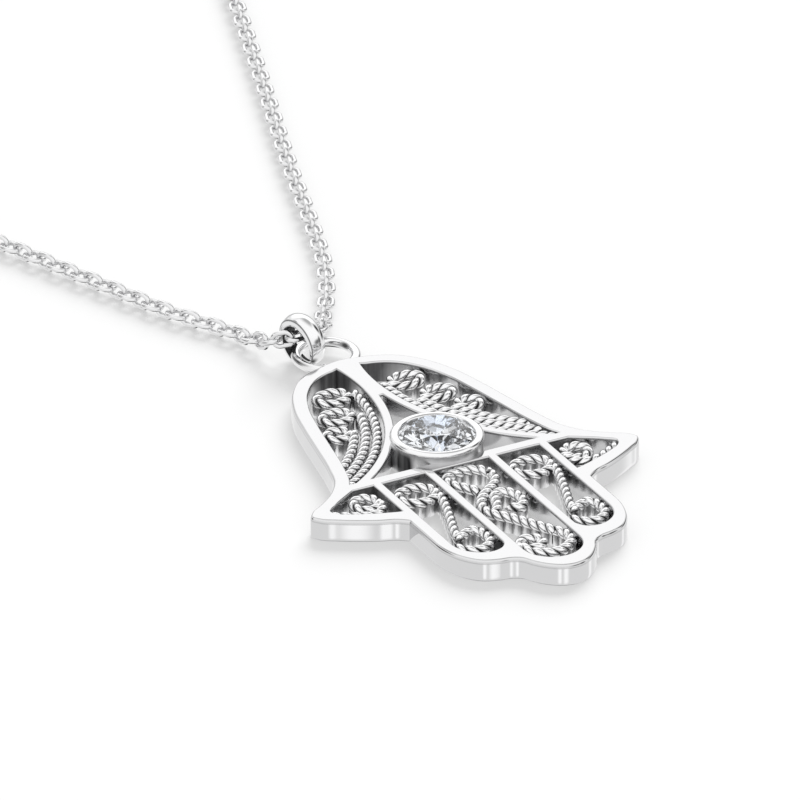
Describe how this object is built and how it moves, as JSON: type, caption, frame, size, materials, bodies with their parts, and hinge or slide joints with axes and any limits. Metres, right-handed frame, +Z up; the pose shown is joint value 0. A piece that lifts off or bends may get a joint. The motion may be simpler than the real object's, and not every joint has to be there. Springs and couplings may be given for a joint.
{
  "type": "hamsa pendant necklace",
  "caption": "Open hand pendant with twisted wire filigree in its openings and a round cut stone over the palm, on a bail and a fine cable chain with a clasp.",
  "frame": {"origin": "middle of the cross bar on the flat back of the hand, which lies on the table", "axes": "+X across the hand to the thumb on the right, +Y up the hand to the bail and the chain, +Z up from the table, out of the hand's face"},
  "size_m": [0.0984, 0.2219, 0.0029],
  "materials": {
    "silver": "polished",
    "stone": "polished"
  },
  "bodies": {
    "root": {"hand": "silver", "stone": "stone", "bail": "silver", "chain": "silver", "clasp": "silver", "end_ring": "silver"}
  },
  "joints": []
}
